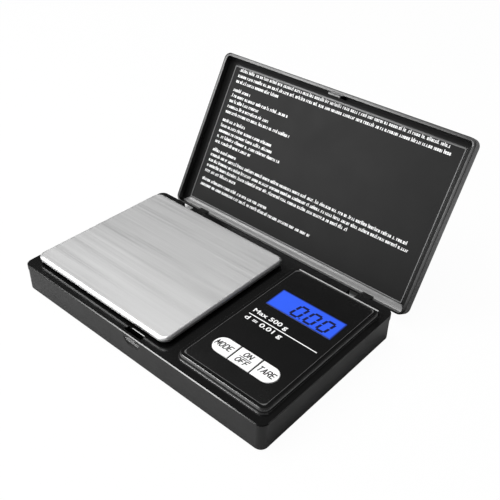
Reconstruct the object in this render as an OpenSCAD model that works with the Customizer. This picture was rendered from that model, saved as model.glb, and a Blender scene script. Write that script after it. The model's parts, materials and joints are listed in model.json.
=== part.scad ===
// Pocket gram scale: a hinged lid over a case that holds a weighing pan on a load cell,
// a raised control panel with a display and three keys, and two AAA cells under a sliding door.
// Sizes are millimetres. Z is up, X runs along the width, and the front of the case faces -Y.
// The model stands on Z = 0 with its lid open.

/* [Case] */
// Width of the case, left to right
case_w = 127; // [126:0.5:132]
// Depth of the case, front to back
case_d = 76; // [75.5:0.5:80]
// Height of the case's rim above its underside
case_h = 11.7; // [11.7:0.1:12.5]
// Radius of the upright corners of the case and lid
corner_r = 3; // [1:0.5:4]
// Thickness of the moulded walls
wall = 1.5; // [1.3:0.1:1.6]

/* [Lid] */
// Depth of the lid, front to back
lid_d = 73; // [72.5:0.5:73]
// Height of the lid's shell above the rim
lid_h = 6.4; // [6.4:0.1:8]
// Radius of the rounded edge around the lid's top
lid_round = 2; // [1:0.25:2.5]
// Angle that the lid opens to, from closed
lid_open = 119.3; // [90:0.1:119.3]

/* [Pan] */
// Width of the stainless pan
pan_w = 75; // [68:0.5:75]
// Depth of the stainless pan
pan_d = 66.4; // [62:0.4:66.4]
// Sheet thickness of the pan
pan_t = 0.6; // [0.4:0.1:0.6]
// Height of the pan's turned-down edge
pan_edge = 1.8; // [1.5:0.1:1.8]

/* [Control panel] */
// Width of the raised panel
pod_w = 40.6; // [40:0.2:41]
// Depth of the raised panel
pod_d = 67; // [66:0.5:67]
// Height of the raised panel above the rim
pod_h = 1.9; // [1.9:0.1:2.1]
// Width of the display opening
display_w = 30; // [26:0.5:30]
// Depth of the display opening
display_d = 11; // [9:0.5:11]
// Depth of the row of keys
key_d = 7.8; // [7:0.2:8]
// Width of the middle key
key_mid_w = 9.4; // [8:0.2:9.4]

/* [Hidden] */
$fn = 48;
eps = 0.01;

// Heights
foot_h = 0.8;
floor_t = 1.5;
case_z = foot_h;
floor_z = case_z + floor_t;
rim_z = case_z + case_h;
deck_t = 1.6;
deck_z = rim_z - deck_t;
lip_h = 2.4;
seam_z = rim_z - lip_h;
lip_proud = 0.3;
pod_z = rim_z + pod_h;
pod_t = 1;
film_t = 0.2;
film_z = pod_z + film_t;
pan_top_z = rim_z + 3.3;

// Hinge axis, at the back of the case
hinge_y = case_d / 2 + 0.14;
hinge_z = rim_z - 6.89;
barrel_r = 2.4;
pin_r = 0.9;
pin_len = 12;
run_gap = 0.05;
ear_x = 46;
ear_w = 5;
ear_gap = 0.4;
knuckle_w = 3;
niche_y = 33.3;

// Lid, described closed
lid_gap = 0.1;
lid_z = rim_z + lid_gap;
lid_top_z = rim_z + lid_h;
lid_front_y = -case_d / 2;
lid_back_y = lid_front_y + lid_d;
lid_mid_y = (lid_front_y + lid_back_y) / 2;
lid_plate_t = 1.4;
liner_t = 0.3;
liner_in = 3.2;
liner_in_back = 2.3;
round_steps = 2;
function round_in(k) = lid_round * (1 - cos(90 * k / round_steps));
function round_z(k) = lid_top_z - lid_round + lid_round * sin(90 * k / round_steps);

// The frame's origin is below the middle of the open scale's box
function opened_y(y, z) = hinge_y + (y - hinge_y) * cos(lid_open) + (z - hinge_z) * sin(lid_open);
back_y = max([for (k = [0 : round_steps - 1]) opened_y(lid_front_y + round_in(k), round_z(k + 1))]);
frame_y = -(back_y - case_d / 2) / 2;

// Pan and load cell
pan_x = -23;
pan_y = -0.5;
pan_r = 3.5;
carrier_gap = 0.5;
carrier_t = 1.2;
carrier_z = pan_top_z - pan_t - carrier_t;
cell_w = 10;
cell_len = 45;
cell_h = 5.6;
spacer_t = 1.3;
cell_z = floor_z + spacer_t;
cell_end = 16;
cell_hole_r = 1.9;
fixed_bolts = [-19.5, -13];
free_bolts = [13, 18];
hub = [9, 12];
hub_gap = 1;
m3_r = 1.2;
m3_head_r = 2.2;
m3_head_h = 1.2;
overload_gap = 0.45;

// Control panel
pod_x = 40.4;
pod_y = -0.3;
pod_r = 3;
film_in = 2;
display_x = 40.9;
display_y = 12.6;
glass_z = pod_z - 2.1;
board_size = [38, 54.5, 1];
board_x = 40.6;
board_y = -1.25;
board_z = deck_z - 0.9;
board_top = board_z + board_size[2];
post_x = [24.2, 57.6];
post_y = [-26.2, 23.6];
post_r = 1.7;
dome_h = 0.7;
dome_r = 3.2;
key_x = 40.45;
key_y = -20.4;
key_len = 28.6;
key_split = 0.5;
key_proud = 0.3;
key_flange = 0.6;

// Latch
tongue_x = -0.2;
tongue_w = 6.2;
slot_x = 0.7;
slot_w = 8.8;
slot_y = -35.7;
slot_d = 2;
thumb_x = 1.4;

// Battery bay
cell_aaa_r = 5.1;
cell_aaa_len = 44.5;
bay_x = -49;
bay_w = 22.6;
bay_d = 51;
battery_x = [-54.6, -43.4];
battery_z = 6.95;
plate_t = 0.5;
door_t = 0.9;
door_w = 27.1;
door_d = 55;
door_x = -case_w / 2 + 0.2 + door_w / 2;
roof_h = 0.4;
bay_top_z = battery_z + cell_aaa_r + 0.1;

// Feet and the case screws that they cover
foot_r = 3.2;
foot_x = 56.5;
foot_y = 31.5;
foot_sink = 0.5;
head_seat_z = 3.4;
pilot_top_z = 9.8;
boss_r = 2.9;
deck_boss_r = 2.3;

// Building blocks
module in_frame() translate([0, frame_y, 0]) children();

module rounded(w, d, r) {
    square([w - 2 * r, d], center = true);
    square([w, d - 2 * r], center = true);
    for (x = [-1, 1], y = [-1, 1]) translate([x * (w / 2 - r), y * (d / 2 - r)]) circle(r);
}

module slab(x, y, z, w, d, h, r = 0) translate([x, y, z]) linear_extrude(h)
    if (r > 0) rounded(w, d, r); else square([w, d], center = true);

module rod(x, y, z, r, h) translate([x, y, z]) cylinder(r = r, h = h);

module cross_rod(x, y, z, r, len) translate([x - len / 2, y, z]) rotate([0, 90, 0]) cylinder(r = r, h = len);

module screw(x, y, z, len, r, head_r, head_h) {
    rod(x, y, z, head_r, head_h);
    rod(x, y, z + head_h - eps, r, len - head_h + eps);
}

module at_corners(x, y) for (i = [-1, 1], j = [-1, 1]) translate([i * x, j * y, 0]) children();

// Lower case: floor, walls, battery bay, hinge knuckles and bosses
module ear_niche(w, y, z, h) for (i = [-1, 1]) slab(i * ear_x, (y + case_d / 2 + 1) / 2, z, w, case_d / 2 + 1 - y, h);

module case_shell()
    slab(0, 0, case_z, case_w - lip_proud, case_d - lip_proud, seam_z - case_z, corner_r);

module case_bosses() {
    at_corners(foot_x, foot_y) rod(0, 0, floor_z - eps, boss_r, 3.1);
    slab(bay_x, 0, floor_z - eps, bay_w + 2, bay_d + 2, deck_z - floor_z);
    for (i = [-1, 1]) slab(i * ear_x, 35.05, floor_z - eps, 8.4, 5.9 - lip_proud, seam_z - floor_z);
    rod(pan_x, cell_end, floor_z - eps, 3, 0.5);
}

module case_knuckles() for (i = [-1, 1], j = [-1, 1])
    cross_rod(i * ear_x + j * (ear_w / 2 + ear_gap + knuckle_w / 2), hinge_y, hinge_z, barrel_r, knuckle_w);

module lower_case() in_frame() color("#303030") difference() {
    union() {
        difference() {
            case_shell();
            slab(0, 0, floor_z, case_w - 2 * wall, case_d - 2 * wall, case_h, corner_r - 1);
        }
        case_bosses();
        case_knuckles();
        for (i = [-1, 1]) slab(i * ear_x, 38.65, case_z + 0.9, ear_w, 5.3, 1.35);
    }
    ear_niche(ear_w + 2 * ear_gap, niche_y, hinge_z - barrel_r - 0.1, case_h);
    slab(bay_x, 0, 0, bay_w, bay_d, 2 * case_h);
    slab(door_x - 0.2, 0, 0, door_w + 0.6, door_d + 0.4, case_z + door_t + 0.02);
    for (i = [-1, 1]) cross_rod(i * ear_x, hinge_y, hinge_z, pin_r, pin_len + 0.2);
    at_corners(foot_x, foot_y) {
        rod(0, 0, 0, foot_r, case_z + foot_sink);
        rod(0, 0, 0, m3_head_r, head_seat_z);
        rod(0, 0, 0, 1.15, case_h);
    }
    for (y = fixed_bolts) {
        rod(pan_x, y, 0, m3_r + 0.1, case_h);
        rod(pan_x, y, 0, m3_head_r + 0.1, case_z + 1.3);
    }
    rod(pan_x, cell_end, 0, m3_r, case_h);
    slab(bay_x + bay_w / 2, -23.5, 6.4, 4, 1.8, case_h);
    thumb_recess();
}

// Finger recess below the lid's front edge: three shallow scoops in the front wall
module thumb_recess() for (k = [0 : 2])
    cross_rod(thumb_x, -case_d / 2 - 1.1, seam_z - 0.2 - 1.2 * k, 1.5 - 0.15 * k, 8.4 - 1.6 * k);

// Deck: upper half of the case with the raised control panel
module deck() in_frame() color("#1c1c1c") difference() {
    union() {
        slab(0, 0, seam_z, case_w, case_d, lip_h, corner_r);
        slab(pod_x, pod_y, rim_z - eps, pod_w, pod_d, pod_h + eps, pod_r);
        slab(bay_x, 0, rim_z - eps, bay_w, bay_d, roof_h + eps, 1);
        at_corners(foot_x, foot_y) rod(0, 0, floor_z + 3.2, deck_boss_r, deck_z - floor_z - 3.2 + eps);
        board_posts(board_top, post_r, pod_z - board_top - pod_t + eps);
    }
    difference() {
        slab(0, 0, seam_z - eps, case_w - 2 * wall - 0.4, case_d - 2 * wall - 0.4, lip_h - deck_t + eps,
            corner_r - 1);
        at_corners(foot_x, foot_y) rod(0, 0, floor_z, deck_boss_r, case_h);
    }
    difference() {
        slab(pod_x, pod_y, seam_z - eps, pod_w - 2, pod_d - 2, pod_z - pod_t - seam_z + eps, pod_r - 1);
        board_posts(board_top, post_r, case_h);
        at_corners(foot_x, foot_y) rod(0, 0, floor_z, deck_boss_r, case_h);
    }
    slab(bay_x, 0, seam_z - eps, bay_w - 0.6, bay_d - 0.6, bay_top_z - seam_z + eps);
    slab(display_x, display_y, rim_z, display_w + 0.1, display_d + 0.1, 5);
    slab(key_x, key_y, rim_z, key_len + 0.4, key_d + 0.4, 5, (key_d + 0.4) / 2 - eps);
    slab(pan_x, pan_y + cell_end, 0, hub[0] + 2 * hub_gap, hub[1] + 2 * hub_gap, 30, 2);
    slab(slot_x, slot_y, 0, slot_w, slot_d, 30);
    ear_niche(ear_w + 2 * ear_gap, niche_y, 0, 30);
    at_corners(foot_x, foot_y) rod(0, 0, 0, 1, pilot_top_z);
    board_posts(0, 0.7, pod_z - pod_t - 0.4);
    thumb_recess();
}

module board_posts(z, r, h) for (x = post_x, y = post_y) rod(x, y, z, r, h);

module display_rect(extra, z, h) slab(display_x, display_y, z, display_w + extra, display_d + extra, h);

module overlay() in_frame() color("#222222") difference() {
    slab(pod_x, pod_y, pod_z, pod_w - 2 * film_in, pod_d - 2 * film_in, film_t, pod_r - 1);
    display_rect(0.1, pod_z - 1, 3);
    slab(key_x, key_y, pod_z - 1, key_len + 0.4, key_d + 0.4, 3, (key_d + 0.4) / 2 - eps);
}

module display_window() in_frame() color("#3f6fff", 0.5) display_rect(0, pod_z - 0.6, 0.6 + film_t);

module display_glass() in_frame() color("#2f55e0") slab(display_x, display_y + 0.5, glass_z, 32, 15.6, 1);

module backlight() in_frame() color("#dfe8ff")
    slab(display_x, display_y - 0.6, board_top, 31, 12.6, glass_z - board_top);

module elastomer_strip() in_frame() color("#6f6f78")
    slab(display_x, display_y + 7.2, board_top, 29, 1.6, glass_z - board_top);

module circuit_board() in_frame() color("#1f5a34") difference() {
    slab(board_x, board_y, board_z, board_size[0], board_size[1], board_size[2]);
    board_posts(0, 0.8, 30);
}

module board_screws() in_frame() color("#b8b8b8") board_posts(board_z - 1, 1.4, 1);

// Keys: one capsule split in three, each key on its own snap dome
module key_outline(x0, x1, grow) intersection() {
    translate([key_x, key_y]) rounded(key_len + 2 * grow, key_d + 2 * grow, key_d / 2 + grow - eps);
    translate([x0, key_y - key_d]) square([x1 - x0, 2 * key_d]);
}

function key_edge(k) = key_x + [-key_len, -key_mid_w, key_mid_w, key_len][k] / 2 + [-5, -key_split, 0, 5][k];
function key_left(k) = key_edge(k) + (k > 0 ? key_split : 0);
function key_mid(k) = key_x + [-1, 0, 1][k] * (key_mid_w / 2 + (key_len - key_mid_w) / 4 + 0.2);

module key(k) {
    translate([0, 0, pod_z - pod_t - 0.1]) linear_extrude(pod_t + film_t + key_proud + 0.1)
        key_outline(key_left(k), key_edge(k + 1), 0);
    translate([0, 0, pod_z - pod_t - 0.5]) linear_extrude(0.4 + eps)
        key_outline(key_left(k), key_edge(k + 1), key_flange);
    rod(key_mid(k), key_y, board_top + dome_h + 0.05, 1.5, pod_z - pod_t - 0.5 - board_top - dome_h);
}

module mode_key() in_frame() color("white") key(0);
module power_key() in_frame() color("white") key(1);
module tare_key() in_frame() color("white") key(2);

module dome(k) translate([key_mid(k), key_y, board_top]) rotate_extrude()
    polygon([[0, 0], [dome_r, 0], [dome_r, 0.15], for (a = [1 : 6]) [dome_r * cos(15 * a), dome_h * sin(15 * a)]]);

module mode_dome() in_frame() color("silver") dome(0);
module power_dome() in_frame() color("silver") dome(1);
module tare_dome() in_frame() color("silver") dome(2);

// Weighing pan, its carrier and the load cell
module pan() in_frame() color("#c8c8c8") difference() {
    union() {
        slab(pan_x, pan_y, pan_top_z - pan_edge, pan_w, pan_d, pan_edge - 0.3, pan_r);
        slab(pan_x, pan_y, pan_top_z - 0.3 - eps, pan_w - 0.5, pan_d - 0.5, 0.3 + eps, pan_r);
    }
    slab(pan_x, pan_y, 0, pan_w - 2 * pan_t, pan_d - 2 * pan_t, pan_top_z - pan_t, pan_r - pan_t);
}

module pan_carrier() in_frame() color("#262626") difference() {
    union() {
        slab(pan_x, pan_y, carrier_z, pan_w - 2 * (pan_t + carrier_gap), pan_d - 2 * (pan_t + carrier_gap),
            carrier_t, pan_r - 1);
        slab(pan_x, pan_y + cell_end, cell_z + cell_h, hub[0], hub[1], carrier_z - cell_z - cell_h + eps, 1);
    }
    for (y = free_bolts) {
        rod(pan_x, pan_y + y, 0, m3_r + 0.05, 30);
        rod(pan_x, pan_y + y, carrier_z - 0.4, m3_head_r + 0.05, 5);
    }
}

module carrier_screws() in_frame() color("#a8a8a8") for (y = free_bolts)
    translate([pan_x, pan_y + y, carrier_z - 0.35 + m3_head_h]) mirror([0, 0, 1])
        screw(0, 0, 0, 8.6, m3_r, m3_head_r, m3_head_h);

module load_cell() in_frame() color("#c4c6c8") difference() {
    slab(pan_x, pan_y, cell_z, cell_w, cell_len, cell_h);
    for (y = [-4, 4]) cross_rod(pan_x, pan_y + y, cell_z + cell_h / 2, cell_hole_r, 30);
    slab(pan_x, pan_y, cell_z + cell_h / 2 - 0.5, 30, 8, 1);
    for (y = free_bolts) rod(pan_x, pan_y + y, 0, m3_r, 30);
    for (y = fixed_bolts) rod(pan_x, y, 0, m3_r, 30);
}

module gauge_coating() in_frame() color("#f0f0ea") slab(pan_x, pan_y, cell_z + cell_h, 8, 13, 0.6, 1);

module cell_spacer() in_frame() color("#9a9a9a") difference() {
    slab(pan_x, pan_y - 16, floor_z, cell_w, 12, spacer_t);
    for (y = fixed_bolts) rod(pan_x, y, 0, m3_r + 0.1, 30);
}

module cell_screws() in_frame() color("#b0b0b0") for (y = fixed_bolts)
    screw(pan_x, y, case_z + 0.1, 7.6, m3_r, m3_head_r, m3_head_h);

module overload_screw() in_frame() color("#b0b0b0")
    rod(pan_x, cell_end, case_z + 0.2, m3_r, cell_z - overload_gap - case_z - 0.2);

module cell_lead() in_frame() color("#b03a2e") {
    slab(2.25, pan_y - 3.5, board_z - 0.6, 42.5, 4, 0.6);
    slab(-18.5, pan_y - 3.5, cell_z + cell_h, 1, 4, board_z - cell_z - cell_h);
}

// Batteries and their contacts
module battery(k, turn) translate([battery_x[k], 0, battery_z]) rotate([turn * 90, 0, 0]) {
    translate([0, 0, -cell_aaa_len / 2]) cylinder(r = cell_aaa_r, h = cell_aaa_len - 0.8);
    translate([0, 0, cell_aaa_len / 2 - 0.8 - eps]) cylinder(r = 1.9, h = 0.8 + eps);
}

module battery_a() in_frame() color("#4a4f57") translate([0, -2.5, 0]) battery(0, 1);
module battery_b() in_frame() color("#4a4f57") translate([0, 2.5, 0]) battery(1, -1);

module contact_plate(x, y, w) slab(x, y, 2.6, w, plate_t, 8);

module coil(x, y, len, turn) translate([x, y, battery_z]) rotate([turn * 90, 0, 0])
    linear_extrude(len, twist = -1440, slices = 64, $fn = 8) translate([2.6, 0]) circle(0.45);

module contact_bridge() in_frame() color("#c9c2a8") {
    contact_plate(bay_x, bay_d / 2 - plate_t / 2, 19);
    coil(battery_x[0], bay_d / 2 - plate_t + 0.05, 5, 1);
}

module contact_minus() in_frame() color("#c9c2a8") {
    contact_plate(battery_x[1], -bay_d / 2 + plate_t / 2, 8);
    coil(battery_x[1], -bay_d / 2 + plate_t - 0.05, 5, -1);
}

module contact_plus() in_frame() color("#c9c2a8")
    contact_plate(battery_x[0], -bay_d / 2 + plate_t / 2, 8);

module battery_leads() in_frame() color("#7a1f1f") for (k = [0, 1]) translate([0, -28.2 - 1.6 * k, 0]) {
    cross_rod((22.8 - 34) / 2, 0, 5, 0.6, 56.8);
    translate([22.8, 0, 5]) sphere(0.6);
    rod(22.8, 0, 5, 0.6, board_z - 5);
}

module battery_door() in_frame() color("#2a2a2a") {
    slab(door_x, 0, case_z, door_w, door_d, door_t);
    for (k = [0 : 4]) slab(-58 + 1.4 * k, 0, case_z - 0.25, 0.6, 12 - 2 * k, 0.25 + eps);
}

// Fasteners and feet
module case_screws() in_frame() color("#a8a8a8") at_corners(foot_x, foot_y)
    screw(0, 0, 1.7, 7.8, 1, 1.9, 1.5);

module foot(x, y) translate([x * foot_x, y * foot_y, 0]) {
    rod(0, 0, 0.3, foot_r - 0.05, case_z + foot_sink - 0.3);
    rod(0, 0, 0, foot_r - 0.4, 0.3 + eps);
}

module foot_front_left() in_frame() color("#151515") foot(-1, -1);
module foot_front_right() in_frame() color("#151515") foot(1, -1);
module foot_back_left() in_frame() color("#151515") foot(-1, 1);
module foot_back_right() in_frame() color("#151515") foot(1, 1);

// Lid, modelled closed and turned about the hinge to its open stop
module opened() in_frame() translate([0, hinge_y, hinge_z]) rotate([-lid_open, 0, 0])
    translate([0, -hinge_y, -hinge_z]) children();

module lid_blank() {
    slab(0, lid_mid_y, lid_z, case_w, lid_d, lid_top_z - lid_round - lid_z, corner_r);
    for (k = [0 : round_steps - 1]) slab(0, lid_mid_y, round_z(k) - eps, case_w - 2 * round_in(k),
        lid_d - 2 * round_in(k), round_z(k + 1) - round_z(k) + eps, corner_r);
}

module lid_pocket()
    slab(0, lid_mid_y, 0, case_w - 2 * wall, lid_d - 2 * wall, lid_top_z - lid_plate_t, corner_r - 1);

module lid_ear(x) {
    cross_rod(x, hinge_y, hinge_z, barrel_r, ear_w);
    translate([x - ear_w / 2, 0, 0]) rotate([90, 0, 90]) linear_extrude(ear_w)
        polygon([[lid_back_y - wall, lid_z + 2], [lid_back_y, lid_z + 2], [hinge_y + 2.06, hinge_z + 1.19],
            [hinge_y - 2.14, hinge_z - 1.07]]);
}

module lid_shell() opened() color("#2c2c2c") difference() {
    union() {
        difference() {
            lid_blank();
            lid_pocket();
        }
        for (i = [-1, 1]) lid_ear(i * ear_x);
        slab(tongue_x, slot_y, lid_z - 2, tongue_w, 1.2, 5);
        slab(tongue_x, slot_y - 0.4, lid_z, tongue_w, 1.8, 3);
    }
    for (i = [-1, 1]) cross_rod(i * ear_x, hinge_y, hinge_z, pin_r + run_gap, 30);
}

module lid_liner() opened() color("#343434")
    slab(0, lid_mid_y + (liner_in - liner_in_back) / 2, lid_top_z - lid_plate_t - liner_t,
        case_w - 2 * (wall + liner_in), lid_d - 2 * wall - liner_in - liner_in_back, liner_t, 1);

module hinge_pin(x) cross_rod(x, hinge_y, hinge_z, pin_r, pin_len);
module hinge_pin_left() in_frame() color("#b8b8b8") hinge_pin(-ear_x);
module hinge_pin_right() in_frame() color("#b8b8b8") hinge_pin(ear_x);

lower_case();
deck();
overlay();
display_window();
display_glass();
backlight();
elastomer_strip();
circuit_board();
board_screws();
mode_key();
power_key();
tare_key();
mode_dome();
power_dome();
tare_dome();
pan();
pan_carrier();
carrier_screws();
load_cell();
gauge_coating();
cell_spacer();
cell_screws();
overload_screw();
cell_lead();
battery_a();
battery_b();
contact_bridge();
contact_minus();
contact_plus();
battery_leads();
battery_door();
case_screws();
foot_front_left();
foot_front_right();
foot_back_left();
foot_back_right();
lid_shell();
lid_liner();
hinge_pin_left();
hinge_pin_right();
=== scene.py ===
"""A pocket gram scale, open, on a pale table: black mouldings, a brushed steel pan and a lit display."""

import json
import math
import random

import bmesh
import bpy
from mathutils import Matrix, Vector


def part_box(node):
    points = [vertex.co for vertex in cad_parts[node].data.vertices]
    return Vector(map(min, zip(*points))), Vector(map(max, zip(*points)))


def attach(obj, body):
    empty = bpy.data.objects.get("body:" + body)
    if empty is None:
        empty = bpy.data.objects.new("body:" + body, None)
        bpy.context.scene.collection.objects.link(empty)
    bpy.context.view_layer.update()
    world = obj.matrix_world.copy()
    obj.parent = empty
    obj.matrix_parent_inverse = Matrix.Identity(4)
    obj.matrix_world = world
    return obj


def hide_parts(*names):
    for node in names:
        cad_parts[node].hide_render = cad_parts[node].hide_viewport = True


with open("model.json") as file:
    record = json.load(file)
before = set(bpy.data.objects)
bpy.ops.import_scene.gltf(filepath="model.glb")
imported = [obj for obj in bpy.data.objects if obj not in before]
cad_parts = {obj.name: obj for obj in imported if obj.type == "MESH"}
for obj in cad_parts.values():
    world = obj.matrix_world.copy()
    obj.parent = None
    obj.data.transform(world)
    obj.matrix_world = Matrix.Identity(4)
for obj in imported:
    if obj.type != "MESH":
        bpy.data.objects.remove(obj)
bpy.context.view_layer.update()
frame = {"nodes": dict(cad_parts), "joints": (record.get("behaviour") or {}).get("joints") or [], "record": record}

MM = 0.001
TURN = math.radians(1)
random.seed(7)

# ---------------------------------------------------------------- places, from the frame

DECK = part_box("deck")
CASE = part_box("lower_case")
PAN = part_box("pan")
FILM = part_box("overlay")
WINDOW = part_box("display_window")
KEYS = {name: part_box(name + "_key") for name in ("mode", "power", "tare")}
CASE_MIDDLE_Y = (DECK[0].y + DECK[1].y) / 2
RIM_Z = DECK[0].z + 2.4 * MM
HINGE = next(joint for joint in frame["joints"] if joint["name"] == "lid_hinge")
HINGE_AT = Vector(HINGE["pos_m"])
OPENED = (Matrix.Translation(HINGE_AT)
          @ Matrix.Rotation(-HINGE["range_deg"][1] * TURN, 4, "X")
          @ Matrix.Translation(-HINGE_AT))


def at(x, y, z):
    """A point given in millimetres from the middle of the case, at the table's height."""
    return Vector((x * MM, y * MM + CASE_MIDDLE_Y, z * MM))


# ---------------------------------------------------------------- modelling steps

def edit(piece, kind, test, *steps):
    """Runs edit-mode steps on the edges or faces of a piece that pass a test of their place."""
    bpy.ops.object.select_all(action="DESELECT")
    piece.select_set(True)
    bpy.context.view_layer.objects.active = piece
    bpy.ops.object.mode_set(mode="EDIT")
    bpy.ops.mesh.select_mode(type=kind)
    bpy.ops.mesh.select_all(action="DESELECT")
    mesh = bmesh.from_edit_mesh(piece.data)
    mesh.normal_update()
    if kind == "FACE":
        for face in mesh.faces:
            face.select_set(test(face.calc_center_median(), face.normal))
    else:
        for edge in mesh.edges:
            edge.select_set(test(edge.verts[0].co, edge.verts[1].co))
    bmesh.update_edit_mesh(piece.data)
    for step in steps:
        step()
    bpy.ops.object.mode_set(mode="OBJECT")
    return piece


def everything(*place):
    return True


def upright(a, b):
    return abs(a.z - b.z) > 10 * abs(a.xy.length - b.xy.length) + 0.1 * MM and (a.xy - b.xy).length < 0.01 * MM


def level_at(z, lo=None, hi=None):
    """A test for edges that lie at a height, within a rectangle of the plan if one is given."""
    def test(a, b):
        flat = abs(a.z - z) < 0.02 * MM and abs(b.z - z) < 0.02 * MM
        return flat and (lo is None or all(lo.x <= p.x <= hi.x and lo.y <= p.y <= hi.y for p in (a, b)))
    return test


def round_over(width, segments=4, clamp=True):
    return lambda: bpy.ops.mesh.bevel(offset=width, segments=segments, affect="EDGES", clamp_overlap=clamp)


def block(name, lo, hi):
    """A box between two corners, with its place in its mesh."""
    bpy.ops.object.select_all(action="DESELECT")
    bpy.ops.mesh.primitive_cube_add(size=1, location=(lo + hi) / 2, scale=hi - lo)
    piece = bpy.context.object
    piece.name = name
    bpy.ops.object.transform_apply(location=True, rotation=True, scale=True)
    return piece


def round_block(name, lo, hi, corner, segments=6):
    """A box with rounded upright corners."""
    piece = block(name, lo, hi)
    return edit(piece, "EDGE", upright, round_over(corner, segments))


def rod(name, start, axis, radius, length, sides=48):
    """A round bar from one point along X, Y or Z."""
    turned = {"X": (0, math.pi / 2, 0), "Y": (-math.pi / 2, 0, 0), "Z": (0, 0, 0)}[axis]
    along = {"X": Vector((1, 0, 0)), "Y": Vector((0, 1, 0)), "Z": Vector((0, 0, 1))}[axis]
    bpy.ops.object.select_all(action="DESELECT")
    bpy.ops.mesh.primitive_cylinder_add(vertices=sides, radius=radius, depth=length,
                                        location=start + along * length / 2, rotation=turned)
    piece = bpy.context.object
    piece.name = name
    bpy.ops.object.transform_apply(location=True, rotation=True, scale=True)
    return piece


def copy_of(node, name):
    """A cleaned copy of a CAD node's mesh, ready for its edges to be softened."""
    piece = bpy.data.objects.new(name, frame["nodes"][node].data.copy())
    bpy.context.collection.objects.link(piece)
    piece.data.materials.clear()
    edit(piece, "FACE", everything,
         lambda: bpy.ops.mesh.remove_doubles(threshold=0.002 * MM),
         lambda: bpy.ops.mesh.dissolve_limited(angle_limit=0.5 * TURN))
    return piece


def combine(piece, tool, how):
    """Cuts a tool out of a piece, or adds it to it, and uses the tool up."""
    bpy.ops.object.select_all(action="DESELECT")
    bpy.context.view_layer.objects.active = piece
    change = piece.modifiers.new(how.lower(), "BOOLEAN")
    change.operation = how
    change.solver = "EXACT"
    change.object = tool
    bpy.ops.object.modifier_apply(modifier=change.name)
    bpy.data.objects.remove(tool)
    return piece


def join(pieces, name):
    bpy.ops.object.select_all(action="DESELECT")
    for piece in pieces:
        piece.select_set(True)
    bpy.context.view_layer.objects.active = pieces[0]
    if len(pieces) > 1:
        bpy.ops.object.join()
    pieces[0].name = name
    return pieces[0]


def soften(piece, angle=35):
    bpy.ops.object.select_all(action="DESELECT")
    piece.select_set(True)
    bpy.context.view_layer.objects.active = piece
    bpy.ops.object.shade_smooth_by_angle(angle=angle * TURN)
    flats = piece.modifiers.new("flats", "WEIGHTED_NORMAL")
    flats.keep_sharp = True
    bpy.ops.object.modifier_apply(modifier=flats.name)
    return piece


def give(piece, material, body, slot, *nodes):
    """Gives a piece its material, the CAD body it moves with and the nodes it stands for, which it hides. The slot
    is not used.
    """
    piece.data.materials.clear()
    piece.data.materials.append(material)
    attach(piece, body)
    if nodes:
        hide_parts(*nodes)
    return piece


# ---------------------------------------------------------------- node groups

def new_group(name, inputs, outputs):
    tree = bpy.data.node_groups.new(name, "ShaderNodeTree")
    for label, kind, value in inputs:
        socket = tree.interface.new_socket(name=label, in_out="INPUT", socket_type=kind)
        socket.default_value = value
    for label, kind in outputs:
        tree.interface.new_socket(name=label, in_out="OUTPUT", socket_type=kind)
    start = tree.nodes.new("NodeGroupInput")
    end = tree.nodes.new("NodeGroupOutput")
    return tree, start, end


def node(tree, kind, **settings):
    made = tree.nodes.new(kind)
    for key, value in settings.items():
        setattr(made, key, value)
    return made


def math_node(tree, operation, a, b):
    made = node(tree, "ShaderNodeMath", operation=operation)
    for socket, value in zip(made.inputs, (a, b)):
        if isinstance(value, (int, float)):
            socket.default_value = value
        else:
            tree.links.new(value, socket)
    return made.outputs[0]


def object_place(tree, stretch):
    place = node(tree, "ShaderNodeTexCoord")
    mapping = node(tree, "ShaderNodeMapping")
    mapping.inputs["Scale"].default_value = stretch
    tree.links.new(place.outputs["Object"], mapping.inputs["Vector"])
    return mapping.outputs["Vector"]


def noise(tree, place, scale, detail=3):
    made = node(tree, "ShaderNodeTexNoise")
    made.inputs["Detail"].default_value = detail
    tree.links.new(place, made.inputs["Vector"])
    if isinstance(scale, (int, float)):
        made.inputs["Scale"].default_value = scale
    else:
        tree.links.new(scale, made.inputs["Scale"])
    return made.outputs["Fac"]


def make_grain_group():
    """Moulded or painted surface: a fine grain in the normal, cloudy gloss and a slight change of colour."""
    tree, start, end = new_group(
        "surface_grain",
        [("Colour", "NodeSocketColor", (1, 1, 1, 1)), ("Roughness", "NodeSocketFloat", 0.5),
         ("Grain", "NodeSocketFloat", 4000.0), ("Depth", "NodeSocketFloat", 0.1),
         ("Mottle", "NodeSocketFloat", 0.1)],
        [("Colour", "NodeSocketColor"), ("Roughness", "NodeSocketFloat"), ("Normal", "NodeSocketVector")])
    place = object_place(tree, (1, 1, 1))
    fine = noise(tree, place, start.outputs["Grain"], 2)
    cloud = noise(tree, place, 90, 4)
    swing = math_node(tree, "MULTIPLY", math_node(tree, "SUBTRACT", cloud, 0.5), start.outputs["Mottle"])
    rough = math_node(tree, "ADD", start.outputs["Roughness"], swing)
    bright = math_node(tree, "ADD", 1, math_node(tree, "MULTIPLY", swing, 1.5))
    tint = node(tree, "ShaderNodeVectorMath", operation="SCALE")
    tree.links.new(start.outputs["Colour"], tint.inputs[0])
    tree.links.new(bright, tint.inputs["Scale"])
    bump = node(tree, "ShaderNodeBump")
    bump.inputs["Distance"].default_value = 0.05 * MM
    tree.links.new(start.outputs["Depth"], bump.inputs["Strength"])
    tree.links.new(fine, bump.inputs["Height"])
    tree.links.new(tint.outputs[0], end.inputs["Colour"])
    tree.links.new(rough, end.inputs["Roughness"])
    tree.links.new(bump.outputs["Normal"], end.inputs["Normal"])
    return tree


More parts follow.
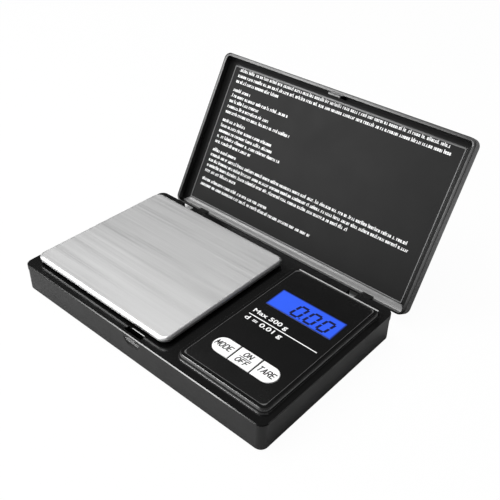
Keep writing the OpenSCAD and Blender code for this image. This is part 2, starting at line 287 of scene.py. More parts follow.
def make_brush_group():
    """Brushed metal: hair lines along X in the colour, the gloss and the normal, broken up along their length."""
    tree, start, end = new_group(
        "brush_lines",
        [("Colour", "NodeSocketColor", (1, 1, 1, 1)), ("Roughness", "NodeSocketFloat", 0.4),
         ("Depth", "NodeSocketFloat", 0.1), ("Contrast", "NodeSocketFloat", 0.3)],
        [("Colour", "NodeSocketColor"), ("Roughness", "NodeSocketFloat"), ("Normal", "NodeSocketVector")])
    hair = noise(tree, object_place(tree, (14, 2600, 2600)), 1, 3)
    band = noise(tree, object_place(tree, (9, 420, 420)), 1, 4)
    cloud = noise(tree, object_place(tree, (22, 30, 30)), 1, 2)
    lines = math_node(tree, "ADD", math_node(tree, "MULTIPLY", hair, 0.6), math_node(tree, "MULTIPLY", band, 0.4))
    swing = math_node(tree, "MULTIPLY", math_node(tree, "SUBTRACT", lines, 0.5), start.outputs["Contrast"])
    drift = math_node(tree, "MULTIPLY", math_node(tree, "SUBTRACT", cloud, 0.5), 0.12)
    bright = math_node(tree, "ADD", 1, math_node(tree, "ADD", swing, drift))
    tint = node(tree, "ShaderNodeVectorMath", operation="SCALE")
    tree.links.new(start.outputs["Colour"], tint.inputs[0])
    tree.links.new(bright, tint.inputs["Scale"])
    bump = node(tree, "ShaderNodeBump")
    bump.inputs["Distance"].default_value = 0.03 * MM
    tree.links.new(start.outputs["Depth"], bump.inputs["Strength"])
    tree.links.new(lines, bump.inputs["Height"])
    tree.links.new(tint.outputs[0], end.inputs["Colour"])
    tree.links.new(math_node(tree, "ADD", start.outputs["Roughness"], swing), end.inputs["Roughness"])
    tree.links.new(bump.outputs["Normal"], end.inputs["Normal"])
    return tree


GRAIN = make_grain_group()
BRUSH = make_brush_group()


# ---------------------------------------------------------------- materials

def new_material(name):
    material = bpy.data.materials.new(name)
    material.use_nodes = True
    return material, material.node_tree, material.node_tree.nodes["Principled BSDF"]


def grey(level):
    return (level, level, level)


def effect(tree, group, shader, colour, settings):
    """Places a node group in a material and feeds its colour, gloss and normal to the shader."""
    made = node(tree, "ShaderNodeGroup", node_tree=group)
    made.inputs["Colour"].default_value = (*colour, 1)
    for key, value in settings.items():
        made.inputs[key].default_value = value
    tree.links.new(made.outputs["Colour"], shader.inputs["Base Color"])
    tree.links.new(made.outputs["Roughness"], shader.inputs["Roughness"])
    tree.links.new(made.outputs["Normal"], shader.inputs["Normal"])
    return made


def moulded(name, colour, roughness, specular=0.5, grain=4000, depth=0.1, mottle=0.1, metallic=0.0):
    material, tree, shader = new_material(name)
    effect(tree, GRAIN, shader, colour,
           {"Roughness": roughness, "Grain": grain, "Depth": depth, "Mottle": mottle})
    shader.inputs["Specular IOR Level"].default_value = specular
    shader.inputs["Metallic"].default_value = metallic
    return material


def brushed(name, colour, roughness, depth=0.1, contrast=0.3, stretch=0.0):
    """Brushed metal. The gloss is drawn out along the piece's own U, which lies across the hair lines."""
    material, tree, shader = new_material(name)
    effect(tree, BRUSH, shader, colour, {"Roughness": roughness, "Depth": depth, "Contrast": contrast})
    shader.inputs["Metallic"].default_value = 1.0
    shader.inputs["Anisotropic"].default_value = stretch
    along = node(tree, "ShaderNodeTangent", direction_type="UV_MAP", uv_map="flat")
    tree.links.new(along.outputs[0], shader.inputs["Tangent"])
    return material


def lit(name, colour, strength, edge_dark):
    """A backlit panel whose glow falls off towards its edges."""
    material, tree, shader = new_material(name)
    made = effect(tree, GRAIN, shader, grey(0.01), {"Roughness": 0.2, "Grain": 900, "Depth": 0.0, "Mottle": 0.04})
    middle = (WINDOW[0] + WINDOW[1]) / 2
    half = (WINDOW[1] - WINDOW[0]) / 2
    place = node(tree, "ShaderNodeTexCoord")
    apart = node(tree, "ShaderNodeSeparateXYZ")
    tree.links.new(place.outputs["Object"], apart.inputs[0])
    reach = []
    for axis in (0, 1):
        away = math_node(tree, "ABSOLUTE", math_node(tree, "SUBTRACT", apart.outputs[axis], middle[axis]), 0)
        reach.append(math_node(tree, "SUBTRACT", half[axis], away))
    nearest = math_node(tree, "MINIMUM", reach[0], reach[1])
    fall = node(tree, "ShaderNodeMapRange", interpolation_type="SMOOTHSTEP")
    fall.inputs["From Max"].default_value = 0.9 * MM
    fall.inputs["To Min"].default_value = edge_dark
    tree.links.new(nearest, fall.inputs["Value"])
    cloud = noise(tree, object_place(tree, (1, 1, 1)), 60, 2)
    level = math_node(tree, "MULTIPLY", fall.outputs[0], math_node(tree, "ADD", 0.9, math_node(tree, "MULTIPLY", cloud, 0.2)))
    glow = node(tree, "ShaderNodeVectorMath", operation="SCALE")
    glow.inputs[0].default_value = colour
    tree.links.new(level, glow.inputs["Scale"])
    tree.links.new(glow.outputs[0], shader.inputs["Emission Color"])
    shader.inputs["Emission Strength"].default_value = strength
    return material


CASE_PLASTIC = moulded("case_plastic", grey(0.006), 0.42, 0.2, 3200, 0.25, 0.12)
DECK_PLASTIC = moulded("deck_plastic", grey(0.003), 0.16, 0.4, 3600, 0.05, 0.1)
# The pod's chamfers take a lighter, glossier copy of the deck plastic: a painted highlight along its edges.
POD_EDGE_PAINTED_HIGHLIGHT = moulded("pod_edge", grey(0.02), 0.26, 1.0, 3600, 0.05, 0.1)
LID_INNER = moulded("lid_inner", grey(0.004), 0.45, 0.12, 3200, 0.15, 0.1)
# A light grey copy of the black lid plastic for the hinge-side sloped band: a painted highlight.
LID_BAND_PAINTED_HIGHLIGHT = moulded("lid_band_painted_highlight", grey(0.18), 0.3, 0.5, 3200, 0.15, 0.15)
LID_PLASTIC = moulded("lid_plastic", grey(0.006), 0.3, 0.55, 3200, 0.2, 0.12)
LINER_CARD = moulded("liner_card", grey(0.006), 0.5, 0.17, 1500, 0.1, 0.12)
PANEL_FILM = moulded("panel_film", grey(0.004), 0.26, 0.3, 5000, 0.08, 0.08)
# A lighter grey copy of the black lid plastic for the liner's bead: a painted highlight along the bead.
BEAD_PAINTED_HIGHLIGHT = moulded("bead_painted_highlight", grey(0.16), 0.35, 0.5, 3200, 0.1, 0.12)
# A pale grey for the strip along the pod's back edge: a painted highlight of the edge's rounding.
STRIP_PAINTED_HIGHLIGHT = moulded("strip_painted_highlight", grey(0.4), 0.35, 0.5, 3200, 0.1, 0.12)
KEY_WHITE = moulded("key_white", grey(0.9), 0.38, 0.4, 3000, 0.06, 0.05)
PRINT_WHITE = moulded("print_white", grey(0.95), 0.6, 0.3, 6000, 0.1, 0.1)
# Grey for a thin rim round the panel film: a painted highlight of the film's edge.
FILM_EDGE_PAINTED_HIGHLIGHT = moulded("film_edge_painted_highlight", grey(0.09), 0.6, 0.3, 6000, 0.1, 0.1)
PRINT_BLACK = moulded("print_black", grey(0.004), 0.6, 0.3, 6000, 0.1, 0.1)
SEGMENT_INK = moulded("segment_ink", (0.004, 0.006, 0.05), 0.35, 0.4, 3000, 0.05, 0.1)
PAN_STEEL = brushed("pan_steel", grey(0.48), 0.55, 0.15, 0.6, 0.3)
# Unbrushed steel for the pan's rolled edge and skirt, painted far brighter than the top as a highlight.
PAN_EDGE_PAINTED_HIGHLIGHT = moulded("pan_edge", grey(0.9), 0.38, 0.5, 2600, 0.05, 0.06, 1.0)
PIN_STEEL = moulded("pin_steel", grey(0.5), 0.32, 0.5, 2500, 0.1, 0.12, 1.0)
DOME_STEEL = moulded("dome_steel", (0.6, 0.59, 0.56), 0.25, 0.5, 2500, 0.1, 0.1, 1.0)
NICKEL = moulded("contact_nickel", (0.6, 0.56, 0.46), 0.3, 0.5, 2500, 0.1, 0.1, 1.0)
ALUMINIUM = moulded("cell_aluminium", (0.62, 0.63, 0.64), 0.42, 0.5, 2000, 0.2, 0.1, 1.0)
RUBBER = moulded("foot_rubber", grey(0.015), 0.75, 0.3, 2200, 0.3, 0.1)
BOARD = moulded("board_green", (0.015, 0.1, 0.04), 0.35, 0.5, 1200, 0.1, 0.1)
SILICONE = moulded("silicone", (0.75, 0.75, 0.7), 0.4, 0.4, 900, 0.2, 0.1)
LEAD_RED = moulded("lead_red", (0.35, 0.03, 0.02), 0.5, 0.4, 1500, 0.1, 0.1)
JACKET = moulded("cell_jacket", (0.05, 0.055, 0.065), 0.35, 0.5, 2500, 0.1, 0.1, 0.6)
ELASTOMER = moulded("elastomer", (0.12, 0.12, 0.14), 0.6, 0.3, 1800, 0.2, 0.15)
LIGHT_GUIDE = moulded("light_guide", (0.75, 0.8, 0.9), 0.3, 0.5, 1500, 0.05, 0.05)
DISPLAY_BLUE = lit("display_lit", (0.025, 0.12, 1.0), 0.95, 0.15)

BY_SLOT = {
    "case_plastic": CASE_PLASTIC, "deck_plastic": DECK_PLASTIC, "panel_film": PANEL_FILM,
    "display_lens": DISPLAY_BLUE, "display_lit": DISPLAY_BLUE, "light_guide": LIGHT_GUIDE,
    "elastomer": ELASTOMER, "board_green": BOARD, "key_white": KEY_WHITE, "dome_steel": DOME_STEEL,
    "pan_steel": PAN_STEEL, "screw_steel": PIN_STEEL, "cell_aluminium": ALUMINIUM, "silicone": SILICONE,
    "lead_red": LEAD_RED, "cell_jacket": JACKET, "contact_nickel": NICKEL, "foot_rubber": RUBBER,
    "lid_plastic": LID_PLASTIC, "liner_film": LINER_CARD,
}


def paint_nodes():
    """Every CAD node takes the material of its slot in the record."""
    for entry in frame["record"]["subparts"]:
        made = frame["nodes"][entry["node"]]
        made.data.materials.clear()
        made.data.materials.append(BY_SLOT[entry["material_slot"]])


# ---------------------------------------------------------------- camera, lights and table

def make_camera():
    azimuth, elevation, roll = 40.16 * TURN, 35.74 * TURN, 1.73 * TURN
    bpy.ops.object.camera_add(location=at(157.73, -155.70, 190.13))
    camera = bpy.context.object
    camera.name = "camera"
    turn = (Matrix.Rotation(azimuth, 3, "Z") @ Matrix.Rotation(math.pi / 2 - elevation, 3, "X")
            @ Matrix.Rotation(roll, 3, "Z"))
    camera.rotation_euler = turn.to_euler()
    camera.data.sensor_width = 36
    camera.data.lens = 52.24
    camera.data.shift_x = -0.0114
    camera.data.shift_y = -0.0022
    camera.data.clip_start = 0.01
    bpy.context.scene.camera = camera


def lamp(name, direction, distance, size, radiance, tall=None):
    """A soft panel light that faces the middle of the scale, given by how bright it looks."""
    aim = at(0, 10, 15)
    away = Vector(direction).normalized()
    bpy.ops.object.light_add(type="AREA", location=aim + away * distance)
    light = bpy.context.object
    light.name = name
    light.rotation_euler = away.to_track_quat("Z", "Y").to_euler()
    light.data.shape = "RECTANGLE"
    light.data.size = size
    light.data.size_y = tall or size
    light.data.energy = radiance * math.pi * size * (tall or size)
    return light


def make_lights():
    lamp("overhead_panel", (-0.45, 0.0, 0.88), 0.85, 0.5, 6.0)
    lamp("top_fill", (-0.02, -0.42, 0.90), 0.75, 0.3, 9.0)
    lamp("front_strip", (-0.56, -0.68, 0.48), 0.7, 0.30, 26.0, 0.10)
    lamp("low_fill", (-0.45, -0.85, 0.25), 0.8, 0.5, 1.2)


def make_world():
    """Grey light from all round; the camera and rays through glass see the same white as the table."""
    world = bpy.data.worlds.new("studio")
    bpy.context.scene.world = world
    world.use_nodes = True
    tree = world.node_tree
    shade = tree.nodes["Background"]
    shade.inputs["Color"].default_value = (0.11, 0.11, 0.11, 1)
    white = node(tree, "ShaderNodeBackground")
    white.inputs["Color"].default_value = (1, 1, 1, 1)
    path = node(tree, "ShaderNodeLightPath")
    mix = node(tree, "ShaderNodeMixShader")
    seen = math_node(tree, "MAXIMUM", path.outputs["Is Camera Ray"], path.outputs["Is Transmission Ray"])
    tree.links.new(seen, mix.inputs[0])
    tree.links.new(shade.outputs[0], mix.inputs[1])
    tree.links.new(white.outputs[0], mix.inputs[2])
    tree.links.new(mix.outputs[0], tree.nodes["World Output"].inputs["Surface"])


def beyond_footprint(tree):
    """0 on the table under the scale, where the full shadow is kept, and 1 outside it."""
    lo, hi = at(-62, -34, 0), at(55, 70, 0)
    place = node(tree, "ShaderNodeTexCoord")
    apart = node(tree, "ShaderNodeSeparateXYZ")
    tree.links.new(place.outputs["Object"], apart.inputs[0])
    reach = []
    for axis in (0, 1):
        from_middle = math_node(tree, "SUBTRACT", apart.outputs[axis], (lo[axis] + hi[axis]) / 2)
        away = math_node(tree, "ABSOLUTE", from_middle, 0)
        reach.append(math_node(tree, "SUBTRACT", away, (hi[axis] - lo[axis]) / 2))
    fall = node(tree, "ShaderNodeMapRange", interpolation_type="SMOOTHSTEP")
    fall.inputs["From Min"].default_value = -2 * MM
    fall.inputs["From Max"].default_value = 1 * MM
    tree.links.new(math_node(tree, "MAXIMUM", reach[0], reach[1]), fall.inputs["Value"])
    return fall.outputs[0]


def make_table():
    bpy.ops.object.select_all(action="DESELECT")
    bpy.ops.mesh.primitive_plane_add(size=6)
    table = bpy.context.object
    table.name = "table"
    material, tree, shader = new_material("table_pale")
    effect(tree, GRAIN, shader, grey(0.8), {"Roughness": 0.8, "Grain": 40, "Depth": 0.0, "Mottle": 0.02})
    glow = node(tree, "ShaderNodeEmission")
    glow.inputs["Color"].default_value = (1, 1, 1, 1)
    path = node(tree, "ShaderNodeLightPath")
    mix = node(tree, "ShaderNodeMixShader")
    seen = math_node(tree, "MULTIPLY", path.outputs["Is Camera Ray"],
                     math_node(tree, "MULTIPLY", beyond_footprint(tree), 0.97))
    tree.links.new(seen, mix.inputs[0])
    tree.links.new(shader.outputs[0], mix.inputs[1])
    tree.links.new(glow.outputs[0], mix.inputs[2])
    tree.links.new(mix.outputs[0], tree.nodes["Material Output"].inputs["Surface"])
    table.data.materials.append(material)


# ---------------------------------------------------------------- pan

def further_finish(piece, material, test):
    """Gives a further material to the faces that pass a test of their place and direction."""
    piece.data.materials.append(material)
    for face in piece.data.polygons:
        if test(face.center, face.normal):
            face.material_index = len(piece.data.materials) - 1


def make_pan():
    """Pressed steel tray: flat top, rolled edge and a short straight skirt. The edge and skirt are unbrushed steel
    painted much brighter than the top: a painted highlight.
    """
    roll = 1.15 * MM
    pan = round_block("pan_pressing", PAN[0], PAN[1], 3.5 * MM, 8)
    edit(pan, "FACE", lambda c, n: n.z < -0.9, lambda: bpy.ops.mesh.delete(type="FACE"))
    edit(pan, "EDGE", level_at(PAN[1].z), round_over(roll, 6))
    wall = pan.modifiers.new("sheet", "SOLIDIFY")
    wall.thickness = 0.6 * MM
    wall.offset = -1
    bpy.ops.object.modifier_apply(modifier=wall.name)
    flat_uv(pan)
    give(soften(pan, 40), PAN_STEEL, "pan_body", "pan_steel", "pan")
    # The rolled edge and skirt take the bright steel: painted highlight.
    further_finish(pan, PAN_EDGE_PAINTED_HIGHLIGHT, lambda c, n: n.z < 0.985)


def flat_uv(piece):
    """A plan view of the piece as its UV map, with U across the hair lines, which run along X."""
    layer = piece.data.uv_layers.new(name="flat")
    for loop in piece.data.loops:
        layer.data[loop.index].uv = piece.data.vertices[loop.vertex_index].co.yx / (100 * MM)


# ---------------------------------------------------------------- case, deck and panel

def make_deck():
    """The upper moulding, with its rim, its raised panel and the panel's foot softened."""
    deck = copy_of("deck", "deck_moulding")
    top = DECK[1].z
    rim = top - 1.9 * MM
    pod_lo, pod_hi = at(20.1, -33.8, 0), at(60.7, 33.2, 0)
    inset = Vector((1, 1, 0)) * MM

    def pod_edge(a, b):
        inner = [pod_lo.x + inset.x < p.x < pod_hi.x - inset.x and pod_lo.y + inset.y < p.y < pod_hi.y - inset.y
                 for p in (a, b)]
        return level_at(top)(a, b) and not any(inner)

    def pod_foot(a, b):
        return level_at(rim, pod_lo - inset, pod_hi + inset)(a, b) and max(a.y, b.y) < at(0, 31, 0).y

    def outer(a, b):
        beside = min(abs(a.x), abs(b.x)) > 60.4 * MM or max(a.y, b.y) < at(0, -34.9, 0).y
        slot = max(abs(a.x), abs(b.x)) < 8 * MM and max(a.y, b.y) > at(0, -37.5, 0).y
        return level_at(rim)(a, b) and beside and not slot and max(a.y, b.y) < at(0, 35.2, 0).y

    edit(deck, "EDGE", pod_edge, round_over(0.6 * MM, 1, False))
    edit(deck, "EDGE", pod_foot, round_over(0.4 * MM, 1, False))
    edit(deck, "EDGE", outer, round_over(0.3 * MM, 1, False))
    add_thumb_recess(deck)
    give(soften(deck, 35), DECK_PLASTIC, "case", "deck_plastic", "deck")
    further_finish(deck, CASE_PLASTIC, lambda c, n: n.z < 0.3 and (
        max(abs(c.x) - DECK[1].x, abs(c.y - CASE_MIDDLE_Y) - (DECK[1].y - CASE_MIDDLE_Y)) > -3.1 * MM))
    # The pod's 45-degree chamfers take the lighter copy of the deck plastic: painted highlight lines.
    further_finish(deck, POD_EDGE_PAINTED_HIGHLIGHT, lambda c, n: 0.6 < n.z < 0.85 and c.z > rim + 0.05 * MM
                   and pod_lo.x - 1 * MM < c.x and c.x < 61.7 * MM)
    lip = block("latch_lip", at(-1.7, -34.65, 12.3), at(4.9, -34.25, 12.72))
    edit(lip, "EDGE", level_at(lip.data.vertices[1].co.z), round_over(0.2 * MM, 1))
    give(lip, DECK_PLASTIC, "case", "deck_plastic")


def add_thumb_recess(piece):
    """A shallow scoop in the front wall, under the lid's edge."""
    bpy.ops.object.select_all(action="DESELECT")
    bpy.ops.mesh.primitive_uv_sphere_add(segments=48, ring_count=24, radius=1 * MM, location=at(1.4, -38.7, 9.3),
                                         scale=(4.6, 1.7, 2.3))
    scoop = bpy.context.object
    bpy.ops.object.transform_apply(location=True, rotation=True, scale=True)
    combine(piece, scoop, "DIFFERENCE")


def make_thumb_ridges():
    """Fine grip ridges that follow the scoop."""
    ridges = []
    for z, half in ((10.6, 3.2), (9.9, 3.8), (9.2, 3.4)):
        ridge = block("ridge", at(1.4 - half, -37.75, z - 0.16), at(1.4 + half, -37.2, z + 0.16))
        ridges.append(edit(ridge, "EDGE", everything, round_over(0.1 * MM, 1)))
    give(join(ridges, "thumb_ridges"), DECK_PLASTIC, "case", "deck_plastic")


def make_tub():
    """The lower moulding, with its bottom edge rounded."""
    tub = copy_of("lower_case", "case_tub")
    lo, hi = CASE[0], CASE[1]
    edge = 0.6 * MM

    def around(a, b):
        if not level_at(lo.z)(a, b):
            return False
        beside = [p.x < lo.x + edge or p.x > hi.x - edge or p.y < lo.y + edge for p in (a, b)]
        return all(beside)
    edit(tub, "EDGE", around, round_over(1.1 * MM, 4))
    add_thumb_recess(tub)
    give(soften(tub, 35), CASE_PLASTIC, "case", "case_plastic", "lower_case")


# ---------------------------------------------------------------- lid

def make_lid():
    """The lid is shaped shut and swung open about the hinge."""
    lo, hi = at(-63.5, -38, 12.6), at(63.5, 35, 18.9)
    lid = round_block("lid_moulding", lo, hi, 3 * MM, 6)
    edit(lid, "EDGE", level_at(hi.z), round_over(2 * MM, 5))
    edit(lid, "FACE", lambda c, n: n.z < -0.9,
         lambda: bpy.ops.mesh.inset(thickness=1.5 * MM, use_even_offset=True))
    edit(lid, "EDGE", lambda a, b: level_at(lo.z)(a, b) and min(a.y, b.y) > hi.y - 3.2 * MM
         and max(a.y, b.y) < hi.y - 1.45 * MM and max(abs(a.x), abs(b.x)) < hi.x - 1.4 * MM,
         lambda: bpy.ops.transform.translate(value=(0, 0.8 * MM, 0)))
    edit(lid, "FACE", lambda c, n: n.z < -0.9 and abs(c.x) < 1 * MM and abs(c.y - (lo.y + hi.y) / 2) < 2 * MM,
         lambda: bpy.ops.mesh.extrude_region_move(TRANSFORM_OT_translate={"value": (0, 0, 3.2 * MM)}),
         lambda: bpy.ops.mesh.inset(thickness=2.6 * MM, depth=-1.6 * MM, use_even_offset=True))
    edit(lid, "EDGE", level_at(lo.z), round_over(0.2 * MM, 2))
    parts = [lid] + latch_tongue() + [ear for x in (-46, 46) for ear in lid_ear(x)]
    lid = join(parts, "lid_moulding")
    lid.data.transform(OPENED)
    give(soften(lid, 35), LID_PLASTIC, "lid", "lid_plastic", "lid_shell")
    out_of_lid = OPENED.to_3x3() @ Vector((0, 0, -1))
    further_finish(lid, LID_INNER, lambda c, n: 0.6 < n.dot(out_of_lid) < 0.95)
    # The hinge-side sloped band is painted light grey: a painted highlight of the lamp above.
    further_finish(lid, LID_BAND_PAINTED_HIGHLIGHT, lambda c, n: n.z > 0.82 and n.y < -0.35)


def latch_tongue():
    tongue = block("tongue", at(-3.3, -36.3, 10.6), at(2.9, -35.1, 16.2))
    edit(tongue, "EDGE", everything, round_over(0.2 * MM, 2))
    root = block("tongue_root", at(-3.3, -37.2, 12.6), at(2.9, -35.2, 16))
    edit(root, "EDGE", everything, round_over(0.15 * MM, 2))
    return [tongue, root]


def lid_ear(x):
    """A barrel round the hinge pin, and the web that carries it."""
    barrel = rod("barrel", at(x - 2.5, 38.14, 5.61), "X", 2.4 * MM, 5 * MM)
    edit(barrel, "EDGE", lambda a, b: abs(a.x - b.x) < 0.01 * MM, round_over(0.3 * MM, 2))
    web = block("web", at(x - 2.5, 33.5, 5.61), at(x + 2.5, 35, 14.6))
    edit(web, "FACE", lambda c, n: n.z < -0.9,
         lambda: bpy.ops.transform.resize(value=(1, 2.6, 1), center_override=at(x, 34.2, 5.61)),
         lambda: bpy.ops.transform.translate(value=(0, 3.8 * MM, 0)))
    edit(web, "EDGE", upright, round_over(0.3 * MM, 2))
    return [barrel, web]


def make_liner_bead():
    """The raised bead that frames the printed card in the lid, painted lighter grey as its highlight."""
    lo, hi = at(-59.1, -33.6, 17.0), at(59.1, 31.4, 17.5)
    bead = block("liner_bead", lo, hi)
    edit(bead, "FACE", lambda c, n: n.z < -0.9,
         lambda: bpy.ops.mesh.inset(thickness=0.45 * MM, use_even_offset=True),
         lambda: bpy.ops.mesh.extrude_region_move(TRANSFORM_OT_translate={"value": (0, 0, 0.4 * MM)}))
    edit(bead, "EDGE", level_at(lo.z), round_over(0.14 * MM, 3))
    bead.data.transform(OPENED)
    give(soften(bead, 40), BEAD_PAINTED_HIGHLIGHT, "lid", "lid_plastic")


# ---------------------------------------------------------------- keys, display and print

def make_keys():
    for name, (lo, hi) in KEYS.items():
        key = copy_of(name + "_key", name + "_key_cap")
        edit(key, "EDGE", level_at(hi.z), round_over(0.28 * MM, 3))
        give(soften(key, 40), KEY_WHITE, name + "_button", "key_white", name + "_key")
    ribs = []
    for left, right in (("mode", "power"), ("power", "tare")):
        lo, hi = KEYS[left][0], KEYS[right][1]
        middle = (KEYS[left][1].x + KEYS[right][0].x) / 2
        ribs.append(block("rib", Vector((middle - 0.22 * MM, lo.y + 0.7 * MM, lo.z + 0.6 * MM)),
                          Vector((middle + 0.22 * MM, hi.y - 0.7 * MM, FILM[1].z + 0.12 * MM))))
        edit(ribs[-1], "EDGE", level_at(FILM[1].z + 0.12 * MM), round_over(0.08 * MM, 1))
    give(join(ribs, "key_ribs"), PANEL_FILM, "case", "panel_film")


def lettering(name, words, middle, width, height, slant=0.0, weight=0.0):
    """Flat raised print, fitted to a width and a height about its middle."""
    bpy.ops.object.select_all(action="DESELECT")
    bpy.ops.object.text_add()
    text = bpy.context.object
    text.data.body = words
    text.data.extrude = 0.01
    text.data.offset = weight
    text.data.resolution_u = 4
    bpy.ops.object.convert(target="MESH")
    text = bpy.context.object
    text.name = name
    corners = [Vector(corner) for corner in text.bound_box]
    lo = Vector((min(c.x for c in corners), min(c.y for c in corners), 0))
    hi = Vector((max(c.x for c in corners), max(c.y for c in corners), 0))
    fit = Matrix.Diagonal((width / (hi.x - lo.x), height / (hi.y - lo.y), 3 * MM, 1))
    lean = Matrix.Identity(4)
    lean[0][1] = slant
    text.data.transform(Matrix.Translation(middle) @ lean @ fit @ Matrix.Translation(-(lo + hi) / 2))
    return text


def bar(name, middle, width, height):
    """A thin printed line, with softened ends."""
    half = Vector((width / 2, height / 2, 0.03 * MM))
    line = block(name, middle - half, middle + half)
    return edit(line, "EDGE", upright, round_over(min(width, height) * 0.3, 2))


# Plain letters of straight strokes, in a box one unit wide and high.
STROKES = {
    "M": [[(0, 0), (0, 1), (0.5, 0.3), (1, 1), (1, 0)]],
    "O": [[(0.3, 0), (0.7, 0), (1, 0.3), (1, 0.7), (0.7, 1), (0.3, 1), (0, 0.7), (0, 0.3), (0.3, 0)]],
    "D": [[(0, 0), (0, 1), (0.6, 1), (1, 0.7), (1, 0.3), (0.6, 0), (0, 0)]],
    "E": [[(0.95, 1), (0, 1), (0, 0), (0.95, 0)], [(0, 0.5), (0.8, 0.5)]],
    "N": [[(0, 0), (0, 1), (1, 0), (1, 1)]],
    "F": [[(0, 0), (0, 1), (0.95, 1)], [(0, 0.5), (0.8, 0.5)]],
    "T": [[(0, 1), (1, 1)], [(0.5, 1), (0.5, 0)]],
    "A": [[(0, 0), (0.5, 1), (1, 0)], [(0.2, 0.35), (0.8, 0.35)]],
    "R": [[(0, 0), (0, 1), (0.7, 1), (1, 0.85), (1, 0.6), (0.7, 0.48), (0, 0.48)], [(0.55, 0.48), (1, 0)]],
}


def stroke_word(name, word, middle, height):
    """A slanted word of straight strokes, centred on a point of the key's top."""
    width, pitch, thick = 1.3 * MM, 1.85 * MM, 0.42 * MM
    start = -((len(word) - 1) * pitch + width) / 2
    bars = []
    for place, letter in enumerate(word):
        for line in STROKES[letter]:
            points = [Vector((start + place * pitch + x * width, (y - 0.5) * height, 0)) for x, y in line]
            for a, b in zip(points, points[1:]):
                along = b - a
                half = Vector((along.length / 2 + thick * 0.35, thick / 2, 0.03 * MM))
                piece = block("stroke", -half, half)
                edit(piece, "EDGE", upright, round_over(thick * 0.3, 1))
                piece.data.transform(Matrix.Translation((a + b) / 2)
                                     @ Matrix.Rotation(math.atan2(along.y, along.x), 4, "Z"))
                bars.append(piece)
    made = join(bars, name)
    lean = Matrix.Identity(4)
    lean[0][1] = 0.2
    made.data.transform(Matrix.Translation(middle) @ lean)
    return made


def make_key_legends():
    place = {name: Vector(((lo.x + hi.x) / 2, (lo.y + hi.y) / 2, hi.z)) for name, (lo, hi) in KEYS.items()}
    mode = stroke_word("mode_legend", "MODE", place["mode"] + Vector((0.3 * MM, 0, 0)), 2.4 * MM)
    give(mode, PRINT_BLACK, "mode_button", "key_white")
    tare = stroke_word("tare_legend", "TARE", place["tare"] + Vector((-0.5 * MM, 0, 0)), 2.4 * MM)
    give(tare, PRINT_BLACK, "tare_button", "key_white")
    rise = Vector((0, 1.75 * MM, 0))
    switch = [stroke_word("on", "ON", place["power"] + rise, 2.1 * MM),
              bar("stroke", place["power"], 5.6 * MM, 0.3 * MM),
              stroke_word("off", "OFF", place["power"] - rise, 2.1 * MM)]
    give(join(switch, "power_legend"), PRINT_BLACK, "power_button", "key_white")


def make_display():
    """The lit face of the display, and its slanted digits."""
    face = round_block("display_face", WINDOW[0], WINDOW[1], 0.4 * MM, 3)
    edit(face, "EDGE", level_at(WINDOW[1].z), round_over(0.12 * MM, 2))
    give(soften(face, 40), DISPLAY_BLUE, "case", "display_lens", "display_window")
    digit_w, digit_h, pitch = 3.5 * MM, 6.3 * MM, 6.05 * MM
    base = Vector((WINDOW[0].x + 10.4 * MM, WINDOW[0].y + 1.5 * MM, WINDOW[1].z + 0.01 * MM))
    parts = []
    for place in range(3):
        parts += zero_digit(base + Vector((place * pitch, 0, 0)), digit_w, digit_h)
    parts.append(segment(base + Vector((digit_w + 1.1 * MM, 0, 0)), 0.5 * MM, 0.7 * MM, False))
    digits = join(parts, "display_digits")
    lean = Matrix.Identity(4)
    lean[0][1] = 0.17
    digits.data.transform(Matrix.Translation(base) @ lean @ Matrix.Translation(-base))
    give(digits, SEGMENT_INK, "case", "display_lit")


def segment(middle, length, thick, tall):
    """One bar of a digit, with pointed ends."""
    size = Vector((thick, length, 0.06 * MM) if tall else (length, thick, 0.06 * MM))
    piece = block("segment", middle - size / 2, middle + size / 2)
    return edit(piece, "EDGE", upright, round_over(thick * 0.42, 1))


def zero_digit(corner, width, height):
    thick, gap = 1.05 * MM, 0.55 * MM
    flat, tall = width - gap, height / 2 - gap
    parts = [segment(corner + Vector((width / 2, y, 0)), flat, thick, False) for y in (0, height)]
    for x in (0, width):
        for y in (height / 4, height * 3 / 4):
            parts.append(segment(corner + Vector((x, y, 0)), tall, thick, True))
    return parts


def make_panel_print_and_highlights():
    top = FILM[1].z
    left, right = at(25.2, 0, 0).x, at(56.5, 0, 0).x
    rule_y = at(0, -1.27, 0).y
    rule = bar("rule", Vector(((left + right) / 2, rule_y, top)), right - left, 0.38 * MM)
    above = lettering("capacity", "Max 500 g", Vector((left + 8.2 * MM, rule_y + 2.4 * MM, top)),
                      16.0 * MM, 2.8 * MM, 0.0, 0.012)
    below = lettering("division", "d = 0.01 g", Vector((left + 8.8 * MM, rule_y - 2.45 * MM, top)),
                      17.2 * MM, 2.8 * MM, 0.0, 0.012)
    give(join([rule, above, below], "panel_print"), PRINT_WHITE, "case", "panel_film")
    # Below the film, a grey rim just outside its outline: a painted highlight of the film's edge.
    spread = Vector((0.16 * MM, 0.16 * MM, 0))
    drop = Vector((0, 0, 0.03 * MM))
    border = round_block("film_border", FILM[0] - spread, FILM[1] + spread - drop, 1.0 * MM, 4)
    well = block("well", WINDOW[0] - spread, WINDOW[1] + spread)
    combine(border, well, "DIFFERENCE")
    row = block("row", KEYS["mode"][0] - spread, Vector((KEYS["tare"][1].x, KEYS["tare"][1].y, 1)) + spread)
    combine(border, row, "DIFFERENCE")
    give(border, FILM_EDGE_PAINTED_HIGHLIGHT, "case", "panel_film")
    # A pale strip along the pod's back edge: a painted highlight, where the rounded edge catches the light.
    lo, hi = at(22.4, 32.0, 0), at(59.9, 32.6, 0)
    strip = block("pod_back_highlight_strip", Vector((lo.x, lo.y, DECK[1].z - 0.1 * MM)), Vector((hi.x, hi.y, DECK[1].z + 0.1 * MM)))
    edit(strip, "EDGE", level_at(DECK[1].z + 0.1 * MM), round_over(0.08 * MM, 2))
    give(strip, STRIP_PAINTED_HIGHLIGHT, "case", "deck_plastic")


# ---------------------------------------------------------------- unreadable rows of print in the lid

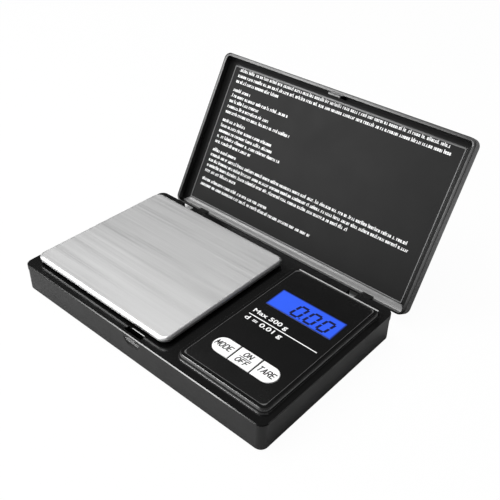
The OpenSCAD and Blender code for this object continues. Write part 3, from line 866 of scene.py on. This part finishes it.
def mark_shapes():
    """Small marks that stand for print without being letters: bars, an open frame, a hook and a dot."""
    size, stroke, thick = 1.12 * MM, 0.3 * MM, 0.05 * MM
    zero = Vector((0, 0, 0))
    shapes = []
    for tall in (1.6 * MM, size):
        shapes.append(block("mark", zero, Vector((stroke, tall, thick))))
    frame_mark = block("mark", zero, Vector((0.72 * MM, size, thick)))
    edit(frame_mark, "FACE", lambda c, n: abs(n.z) > 0.9,
         lambda: bpy.ops.mesh.inset(thickness=stroke, use_individual=True, use_even_offset=True),
         lambda: bpy.ops.mesh.bridge_edge_loops())
    shapes.append(frame_mark)
    hook = [block("mark", zero, Vector((stroke, size, thick))),
            block("mark", Vector((0, size - stroke, 0)), Vector((0.6 * MM, size, thick)))]
    shapes.append(join(hook, "mark"))
    step = [block("mark", zero, Vector((0.65 * MM, stroke, thick))),
            block("mark", Vector((0.25 * MM, 0, 0)), Vector((0.25 * MM + stroke, size, thick)))]
    shapes.append(join(step, "mark"))
    shapes.append(block("mark", zero, Vector((0.24 * MM, 0.24 * MM, thick))))
    return shapes


def mark_row(shapes, start, reach, copies):
    """Lays random words of marks from a start point until the row is as long as it should be."""
    x = 0
    while x < reach:
        for _ in range(random.randint(2, 9)):
            shape = random.choices(shapes, (2, 3, 5, 3, 3, 1))[0]
            copied = bpy.data.objects.new("mark_copy", shape.data.copy())
            copied.data.transform(Matrix.Translation(start + Vector((x, 0, 0))))
            bpy.context.collection.objects.link(copied)
            copies.append(copied)
            x += max(v.co.x for v in shape.data.vertices) + 0.2 * MM
            if x > reach:
                return
        x += 0.55 * MM


ROWS = [0.97, 0.98, 0.22, None, 0.09, 0.30, 0.16, 0.22, 0.34, None, 0.12, 0.27, 0.28, 0.34, 0.20,
        None, 0.13, 0.96, 0.98, 0.72, 0.17, None, 0.35, 0.58]


def make_lid_print():
    """Rows of print in short paragraphs. They are laid out flat, then turned to face out of the lid."""
    shapes = mark_shapes()
    copies = []
    width, pitch = 112 * MM, 2.62 * MM
    y = 0
    for share in ROWS:
        if share is None:
            y -= 0.55 * pitch
            continue
        mark_row(shapes, Vector((0, y, 0)), share * width, copies)
        y -= pitch
    rows = join(copies, "lid_print")
    for shape in shapes:
        bpy.data.objects.remove(shape)
    rows.data.transform(OPENED @ Matrix.Translation(at(-56, -31.6, 17.19)) @ Matrix.Diagonal((1, -1, -1, 1)))
    give(rows, PRINT_WHITE, "lid", "liner_film")


paint_nodes()
make_camera()
make_lights()
make_world()
make_table()
make_pan()
make_deck()
make_tub()
make_thumb_ridges()
make_lid()
make_liner_bead()
make_keys()
make_key_legends()
make_display()
make_panel_print_and_highlights()
make_lid_print()

bpy.context.scene.view_settings.view_transform = "Standard"
